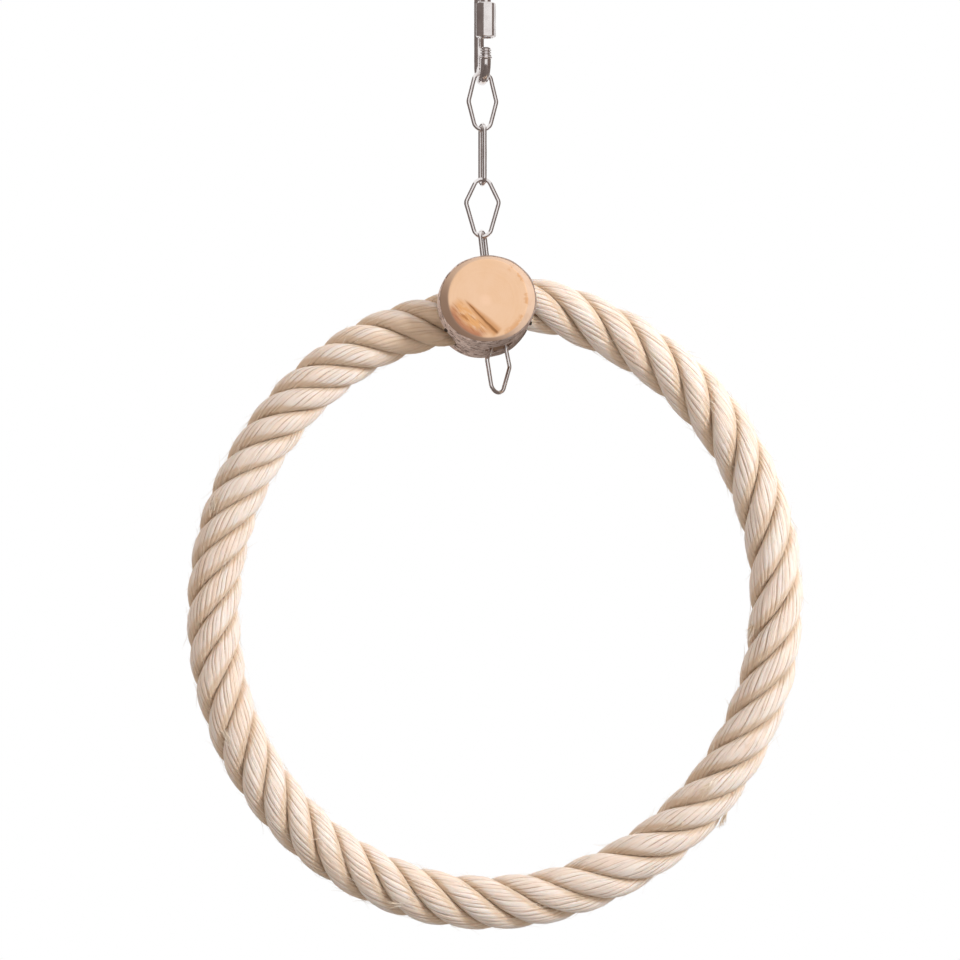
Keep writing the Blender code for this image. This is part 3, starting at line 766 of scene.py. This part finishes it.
def log_end(radius):
    """How far from the log's middle its flat or its turned chamfer lies, at a distance from its axis."""
    past = radius - FACE_D / 2
    eased = np.where(past > FACE_EDGE, past, np.clip(past + FACE_EDGE, 0.0, None) ** 2 / (4 * FACE_EDGE))
    return LOG_LENGTH / 2 - eased * math.tan(CHAMFER_SLOPE)


def log_rows(angles, radii, depths):
    """Rings of points on the log's own axes, from distances to its axis and depths along it."""
    rows = []
    for radius, depth in zip(radii, depths):
        radius, depth = np.broadcast_arrays(radius, depth, angles)[:2]
        rows.append(np.column_stack((radius * np.cos(angles), depth, radius * np.sin(angles))))
    return np.stack(rows)


def cutter(name, rows):
    obj = bpy.data.objects.new(name, new_mesh(name, rows, tube(rows)))
    bpy.context.scene.collection.objects.link(obj)
    return obj


def log_cutters():
    """Solids for the chain's hole and for the sockets that take the rope's ends."""
    angles = np.linspace(0.0, 2 * math.pi, BORE_SIDES, endpoint=False)
    half = LOG_HEIGHT / 2
    levels = (
        (HOLE_D / 2, -2 * half),
        (HOLE_D / 2, half - MOUTH_DEPTH),
        (HOLE_D / 2 + MOUTH_FLARE, half),
        (HOLE_D / 2 + 2 * MOUTH_FLARE, half + MOUTH_DEPTH),
    )
    across, aside = np.cos(angles), np.sin(angles)
    hole = np.stack([
        np.column_stack((HOLE_SHIFT + radius * across, radius * aside, np.full(BORE_SIDES, z)))
        for radius, z in levels
    ])
    made = [cutter("chain_hole", hole)]
    into_log = np.array(LOG_AT.inverted())
    bore_r = ROPE_D / 2 + GAP
    for name, end in (("socket_right", ROPE_RIGHT), ("socket_left", ROPE_LEFT)):
        side = math.copysign(1.0, end)
        first = angle_at(end - side * SOCKET_ROOM)
        line = route_points(np.linspace(first, first + side * SOCKET_SWEEP, SOCKET_STEPS))
        ahead = unit(np.gradient(line, axis=0))
        outward = np.column_stack((-ahead[:, 2], np.zeros(len(line)), ahead[:, 0]))
        sideways = np.cross(ahead, outward)
        ways = [outward * math.cos(angle) + sideways * math.sin(angle) for angle in angles]
        rows = np.stack([line + bore_r * way for way in ways], axis=1)
        made.append(cutter(name, rows @ into_log[:3, :3].T + into_log[:3, 3]))
    return made


def cut(name, mesh, cutters):
    """The mesh with each cutter taken out of it."""
    obj = bpy.data.objects.new(name, mesh)
    bpy.context.scene.collection.objects.link(obj)
    for other in cutters:
        modifier = obj.modifiers.new(other.name, "BOOLEAN")
        modifier.operation = "DIFFERENCE"
        modifier.solver = "EXACT"
        modifier.object = other
    bpy.context.view_layer.update()
    made = bpy.data.meshes.new_from_object(obj.evaluated_get(bpy.context.evaluated_depsgraph_get()))
    bpy.data.objects.remove(obj)
    made.name = name
    return made


def bark_ridges(angles, depth):
    """Low ridges that run round the log."""
    height = np.zeros_like(angles)
    for wave, count, phase in BARK_WAVES:
        height += np.sin(2 * math.pi * depth / wave + count * angles + phase)
    return height / math.sqrt(len(BARK_WAVES))


def log():
    angles = np.linspace(0.0, 2 * math.pi, ROUND_STEPS, endpoint=False)
    wood_rim = oval(angles, BARK + BARK_PLAY)
    shares = np.concatenate((np.linspace(0.01, 0.92, 12), np.linspace(0.94, 1.06, 9)))
    face = [share * FACE_D / 2 for share in shares]
    chamfer = [face[-1] + (wood_rim - face[-1]) * share for share in (0.25, 0.5, 0.75, 1.0)]
    front = [*face, *chamfer]
    side = np.linspace(-0.9, 0.9, 9)
    radii = [*front, *[wood_rim] * len(side), *front[::-1]]
    depths = [-log_end(radius) for radius in front]
    depths += [share * log_end(wood_rim) for share in side]
    depths += [log_end(radius) for radius in front[::-1]]
    wood_rows = log_rows(angles, radii, depths)

    inner, outer = oval(angles, BARK), oval(angles, 0.0)
    shares = np.linspace(-1.0, 1.0, BARK_ROWS)
    radii = [outer + BARK_ROUGH * bark_ridges(angles, share * log_end(outer)) for share in shares]
    depths = [share * log_end(radius) for share, radius in zip(shares, radii)]
    inside = np.linspace(1.0, -1.0, 8)
    radii += [inner] * len(inside)
    depths += [share * log_end(inner) for share in inside]
    bark_rows = log_rows(angles, radii, depths)

    cutters = log_cutters()
    wood_mesh = cut("turned_log", new_mesh("turned_log", wood_rows, tube(wood_rows)), cutters)
    bark_mesh = cut("log_bark", new_mesh("log_bark", bark_rows, tube(bark_rows, loop=True)), cutters)
    for other in cutters:
        bpy.data.objects.remove(other)
    add_piece("turned_log", wood_mesh, WOOD, "ring", ["wood_block"], LOG_AT, sharp=50.0)
    add_piece("log_bark", bark_mesh, BARK_SKIN, "ring", ["block_bark"], LOG_AT, sharp=50.0)


# Chain


def crown(radius, half_width, reach):
    """(x, z) points on one side of a link's end bend, from its middle down to the leg that runs to
    (half_width, -reach)."""
    x, z = half_width, radius - reach
    leg = math.atan2(z, x) + math.acos(min(1.0, radius / math.hypot(x, z)))
    angles = np.linspace(math.pi / 2, leg, BEND_STEPS)
    return np.column_stack((radius * np.cos(angles), radius * np.sin(angles) - radius))


def link_side(form, seat):
    """(x, z) points down the middle of a link's wire on its right side, from its top at (0, 0)."""
    drop = form["length"] - WIRE_D
    corner = np.array(((form["width"] - WIRE_D) / 2, -form["widest"] * drop))
    upper = crown(max(form["crown_r"], seat), corner[0], -corner[1])
    lower = crown(form["crown_r"], corner[0], drop + corner[1])[::-1] * (1.0, -1.0) - (0.0, drop)
    into, out = unit(corner - upper[-1]), unit(lower[0] - corner)
    bend = math.acos(min(1.0, float(into @ out)))
    share = np.linspace(0.0, 1.0, CORNER_STEPS)[:, None]
    if bend < math.radians(1.0):
        leg = upper[-1] + (lower[0] - upper[-1]) * share
        return np.concatenate((upper[:-1], leg, lower[1:]))
    reach = CORNER_R * math.tan(bend / 2)
    start, end = corner - into * reach, corner + out * reach
    rounded = start * (1 - share) ** 2 + corner * (2 * share * (1 - share)) + end * share**2
    return np.concatenate((upper, rounded, lower))


def swept(points, radii, sides):
    """Rings of points round a line in the XZ plane. A ring has one radius, or one for each of its points."""
    ahead = unit(np.gradient(points, axis=0))
    outward = np.column_stack((ahead[:, 2], np.zeros(len(points)), -ahead[:, 0]))
    angles = 2 * math.pi * np.arange(sides) / sides
    radii = np.broadcast_to(np.reshape(radii, (len(points), -1)), (len(points), sides))[..., None]
    ways = outward[:, None] * np.cos(angles)[:, None] + np.array((0.0, 1.0, 0.0)) * np.sin(angles)[:, None]
    return points[:, None] + radii * ways


def chain_link(number, form, at, seat):
    """A welded link: one wire all the way round, a little swollen at its weld."""
    side = link_side(form, seat)
    other = side[::-1][1:-1] * (-1.0, 1.0)
    loop = np.concatenate((side, other))
    points = np.column_stack((loop[:, 0], np.zeros(len(loop)), loop[:, 1] + seat))
    weld = np.array((-(form["width"] - WIRE_D) / 2, 0.0, seat - form["widest"] * (form["length"] - WIRE_D)))
    near = np.linalg.norm(points - weld, axis=1) / WELD_LENGTH
    radii = WIRE_D / 2 + WELD_SWELL * np.exp(-(near**2))
    closed = np.concatenate((points[-1:], points, points[:1]))
    rows = swept(closed, np.concatenate((radii[-1:], radii, radii[:1])), WIRE_SIDES)[1:-1]
    name = f"steel_link_{number}"
    mesh = new_mesh(name, rows, tube(rows, loop=True))
    add_piece(name, mesh, STEEL, f"link_{number}", [f"chain_link_{number}"], at)


def chain():
    pivot = Vector((0.0, 0.0, -EYE_LENGTH - ROD_D / 2))
    carrier_r = ROD_D / 2
    lowest_turn = Matrix.Rotation(LOWEST_PITCH, 4, "X") @ Matrix.Rotation(LOWEST_ROLL, 4, "Y")
    links = [(form, degrees, Matrix()) for form, degrees in UPPER_LINKS]
    links += [(form, degrees, leaning(math.radians(roll))) for form, degrees, roll in LOWER_LINKS]
    links.append((*LOWEST_LINK, lowest_turn))
    for number, (form, degrees, lean) in enumerate(links, 1):
        turned = lean @ Matrix.Rotation(math.radians(degrees), 4, "Z")
        seat = carrier_r + WIRE_D / 2 + GAP
        chain_link(number, form, Matrix.Translation(pivot) @ turned, seat)
        pivot = pivot + turned.to_3x3() @ Vector((0.0, 0.0, seat - form["length"] + WIRE_D))
        carrier_r = WIRE_D / 2


# Quick link


def threaded(z, bend_r, sides):
    """Rows down a stud with a cut thread: points of its axis, and the radius at each side."""
    angles = np.arange(sides) / sides
    rise = (z[:, None] / THREAD_PITCH + angles) % 1.0
    tooth = np.clip(1.6 * np.abs(2 * rise - 1) - 0.3, 0.0, 1.0)
    points = np.column_stack((np.full(len(z), bend_r), np.zeros(len(z)), z))
    return points, THREAD_D / 2 - THREAD_DEPTH * (1 - tooth)


def quick_link():
    bend_r = (EYE_WIDTH + ROD_D) / 2
    top_z = ROD_D / 2 - bend_r
    low_z = bend_r - ROD_D / 2 - EYE_LENGTH
    nut_top = top_z - NUT_DROP
    nut_low = nut_top - NUT_LENGTH
    stud_top = nut_low - NUT_OPENING
    stud_low = stud_top - LOWER_STUD_LENGTH
    collar_top = stud_low + COLLAR_LENGTH
    rod_r, collar_r = ROD_D / 2, COLLAR_D / 2

    def straight(z, x=bend_r):
        return np.column_stack((np.full(len(z), x), np.zeros(len(z)), z))

    def bend(z, first, last):
        angles = np.radians(np.linspace(first, last, 3 * BEND_STEPS))
        across, rise = bend_r * np.cos(angles), bend_r * np.sin(angles)
        return np.column_stack((across, np.zeros(len(angles)), z + rise))

    step = THREAD_PITCH / 10
    stud_end = nut_low + UPPER_STUD_RECESS
    lower_z = np.arange(stud_top - 2 * STUD_EDGE, collar_top + FILLET, -step)
    lower, lower_r = threaded(lower_z, bend_r, ROD_SIDES)
    upper, upper_r = threaded(np.arange(nut_top, stud_end, -step), bend_r, ROD_SIDES)
    collar_z = (collar_top, collar_top - COLLAR_EDGE, stud_low + FILLET, stud_low, stud_low - COLLAR_EDGE)
    collar = straight(np.array(collar_z))
    collar_radii = np.array((collar_r - COLLAR_EDGE, collar_r, collar_r, rod_r + FILLET, rod_r))
    around = np.concatenate((
        straight(np.linspace(stud_low - 0.0008, low_z, 6)[:-1]),
        bend(low_z, 0.0, -180.0),
        straight(np.linspace(low_z, top_z, 24)[1:-1], -bend_r),
        bend(top_z, 180.0, 0.0),
        straight(np.array((top_z - 0.0006, nut_top + 0.0003))),
    ))
    tip = straight(np.array((stud_top, stud_top - STUD_EDGE)))
    tail = straight(np.array((upper[-1, 2] - 0.0003, stud_end - STUD_EDGE)))
    tip_radii = THREAD_D / 2 - np.array(STUD_BEVELS)
    parts = [
        (tip, tip_radii),
        (lower, lower_r),
        (collar, collar_radii),
        (around, np.full(len(around), rod_r)),
        (upper, upper_r),
        (tail, tip_radii[::-1]),
    ]
    points = np.concatenate([points for points, _ in parts])
    radii = [np.broadcast_to(np.reshape(r, (len(p), -1)), (len(p), ROD_SIDES)) for p, r in parts]
    rows = swept(points, np.concatenate(radii), ROD_SIDES)
    body = new_mesh("quick_link", rows, tube(rows))
    add_piece("quick_link", body, STEEL, "quick_link", ["quick_link_body"], QUICK_LINK_AT)

    nut_at = QUICK_LINK_AT @ Matrix.Translation((bend_r, 0.0, (nut_top + nut_low) / 2))
    nut(nut_at @ Matrix.Rotation(NUT_TURN, 4, "Z"))


def nut(at):
    """A long hexagonal sleeve, turned to a cone at both ends and bored through."""
    angles = np.linspace(0.0, 2 * math.pi, NUT_SIDES, endpoint=False)
    half = NUT_LENGTH / 2
    flats = NUT_FLATS / 2 / np.cos((angles + math.pi / 6) % (math.pi / 3) - math.pi / 6)
    corner_r = NUT_FLATS / 2 / math.cos(math.pi / 6)
    flats = np.minimum(flats, corner_r - NUT_EDGE)
    face_r = NUT_FLATS / 2 - GAP
    bore_r = THREAD_D / 2 + GAP
    slope = (corner_r - face_r) / NUT_CHAMFER
    drops = np.linspace(0.0, 1.15 * NUT_CHAMFER, 12)
    top = [(np.full(NUT_SIDES, bore_r + BORE_EDGE), half), (np.full(NUT_SIDES, face_r - 0.0002), half)]
    top += [(np.minimum(flats, face_r + slope * drop), half - drop - 0.00005) for drop in drops]
    sides = [(flats, z) for z in np.linspace(half - 0.0015, 0.0, 6)]
    outer = [*top, *sides]
    outer += [(radius, -z) for radius, z in outer[::-1][1:]]
    inner = [(np.full(NUT_SIDES, bore_r), z) for z in np.linspace(BORE_EDGE - half, half - BORE_EDGE, 4)]
    rows = np.stack([
        np.column_stack((radius * np.cos(angles), radius * np.sin(angles), np.full(NUT_SIDES, z)))
        for radius, z in [*outer, *inner]
    ])
    mesh = new_mesh("sleeve_nut", rows, tube(rows, loop=True))
    add_piece("sleeve_nut", mesh, STEEL, "nut", ["quick_link_nut"], at, sharp=25.0)


# Stage


def path_is(tree, *kinds):
    """1 for rays of any of those kinds."""
    light_path = add_node(tree, "ShaderNodeLightPath")
    total = light_path.outputs[f"Is {kinds[0]} Ray"]
    for kind in kinds[1:]:
        total = calc(tree, "MAXIMUM", total, light_path.outputs[f"Is {kind} Ray"])
    return total


def world():
    """White to look at. A little more of its light comes from behind, as from a white backdrop."""
    made = bpy.data.worlds.new("studio")
    made.use_nodes = True
    tree = made.node_tree
    tree.nodes.clear()
    way = add_node(tree, "ShaderNodeTexCoord").outputs["Generated"]
    back = fade(tree, add_node(tree, "ShaderNodeSeparateXYZ", {0: way}).outputs["Y"], *WORLD_FADE)
    strength = spread_of(tree, back, WORLD_FRONT, WORLD_BACK)
    soft = add_node(tree, "ShaderNodeBackground", {"Color": WORLD_COLOUR, "Strength": strength})
    white = add_node(tree, "ShaderNodeBackground", {"Color": (1.0, 1.0, 1.0, 1.0), "Strength": 1.0})
    seen = path_is(tree, "Camera", "Glossy", "Transmission")
    both = add_node(tree, "ShaderNodeMixShader", {0: seen, 1: soft.outputs[0], 2: white.outputs[0]})
    add_node(tree, "ShaderNodeOutputWorld", {"Surface": both.outputs[0]})
    bpy.context.scene.world = made


def card(name, size, place, material):
    """A flat card that belongs to the stage."""
    mesh = bpy.data.meshes.new(name)
    shape = bmesh.new()
    bmesh.ops.create_grid(shape, x_segments=1, y_segments=1, size=0.5)
    bmesh.ops.scale(shape, vec=(size[0], size[1], 1.0), verts=shape.verts)
    shape.to_mesh(mesh)
    shape.free()
    mesh.materials.append(material)
    obj = bpy.data.objects.new(name, mesh)
    bpy.context.scene.collection.objects.link(obj)
    obj.location = place
    return obj


def floor():
    """Pale floor under the object, which fades to white further out, throws little light back at it, and is
    clear from below."""
    material, tree, shader = new_material("floor", Roughness=0.8)
    place = add_node(tree, "ShaderNodeNewGeometry").outputs["Position"]
    from_foot = mapped(tree, place, scale=(1.0, 1.0, 0.0))
    far = add_node(tree, "ShaderNodeVectorMath", {0: from_foot}, operation="LENGTH").outputs["Value"]
    seen = path_is(tree, "Camera", "Glossy", "Transmission")
    pale = mix(tree, noise(tree, place, 6.0, 2.0), (0.81, 0.81, 0.81, 1.0), (0.84, 0.84, 0.84, 1.0))
    colour = mix(tree, seen, (0.40, 0.40, 0.40, 1.0), pale)
    tree.links.new(colour, shader.inputs["Base Color"])
    white = add_node(tree, "ShaderNodeEmission", {"Color": (1.0, 1.0, 1.0, 1.0), "Strength": 1.0})
    outer = calc(tree, "MULTIPLY", fade(tree, far, *FLOOR_FADE), seen)
    both = add_node(tree, "ShaderNodeMixShader", {0: outer, 1: shader.outputs[0], 2: white.outputs[0]})
    below = add_node(tree, "ShaderNodeNewGeometry").outputs["Backfacing"]
    clear = add_node(tree, "ShaderNodeBsdfTransparent")
    one_sided = add_node(tree, "ShaderNodeMixShader", {0: below, 1: both.outputs[0], 2: clear.outputs[0]})
    tree.links.new(one_sided.outputs[0], tree.nodes["Material Output"].inputs["Surface"])
    middle = (FLOOR_FRONT + FLOOR_BACK) / 2
    card("floor", (2 * FLOOR_HALF_WIDTH, FLOOR_BACK - FLOOR_FRONT), (0.0, middle, FLOOR_Z), material)


def flag(name, size, place, shade):
    """A grey card out of sight, which only shows as a dark edge in the polished steel."""
    material, tree, shader = new_material(name, Roughness=1.0)
    weave = noise(tree, place_of(tree), 40.0, 1.0)
    dark = (0.90 * shade, 0.78 * shade, 0.77 * shade, 1.0)
    light = (1.10 * shade, shade, shade, 1.0)
    tree.links.new(mix(tree, weave, dark, light), shader.inputs["Base Color"])
    obj = card(name, size, place, material)
    obj.visible_camera = obj.visible_diffuse = obj.visible_shadow = False
    return obj


def side_flag(name, x, front, shade):
    """A flag that stands at one side."""
    obj = flag(name, (FLAG_BACK - front, FLAG_HEIGHT), (x, (FLAG_BACK + front) / 2, FLAG_Z), shade)
    obj.rotation_euler = (math.radians(90.0), 0.0, math.radians(90.0))


def lamp(name, place, size, watts):
    """A square soft light, aimed at the ring's middle, which the steel doesn't mirror."""
    light = bpy.data.lights.new(name, "AREA")
    light.shape = "SQUARE"
    light.size = size
    light.energy = watts
    obj = bpy.data.objects.new(name, light)
    bpy.context.scene.collection.objects.link(obj)
    obj.location = place
    aim = Vector(RING_MIDDLE) - obj.location
    obj.rotation_euler = aim.to_track_quat("-Z", "Y").to_euler()
    obj.visible_glossy = False


def camera():
    lens = bpy.data.cameras.new("camera")
    lens.sensor_width = 36.0
    lens.lens = -lens.sensor_width * CAMERA_AT[1] / VIEW_WIDTH
    obj = bpy.data.objects.new("camera", lens)
    bpy.context.scene.collection.objects.link(obj)
    obj.location = CAMERA_AT
    obj.rotation_euler = (math.radians(90.0), 0.0, 0.0)
    bpy.context.scene.camera = obj


bpy.context.scene.view_settings.view_transform = "Standard"
camera()
rope()
log()
chain()
quick_link()
for node in ("rope_nail_left", "rope_nail_right"):
    frame["nodes"][node].data.materials.clear()
    frame["nodes"][node].data.materials.append(NAIL)
world()
floor()
side_flag("flag_left", -FLAG_AWAY, FLAG_LEFT_FRONT, FLAG_LEFT_SHADE)
side_flag("flag_right", FLAG_AWAY, FLAG_RIGHT_FRONT, FLAG_RIGHT_SHADE)
flag("flag_low", (2 * FLAG_AWAY, LOW_FLAG_LENGTH), (0.0, LOW_FLAG_Y, LOW_FLAG_Z), LOW_FLAG_SHADE)
lamp("key", KEY_AT, KEY_SIZE, KEY_WATTS)
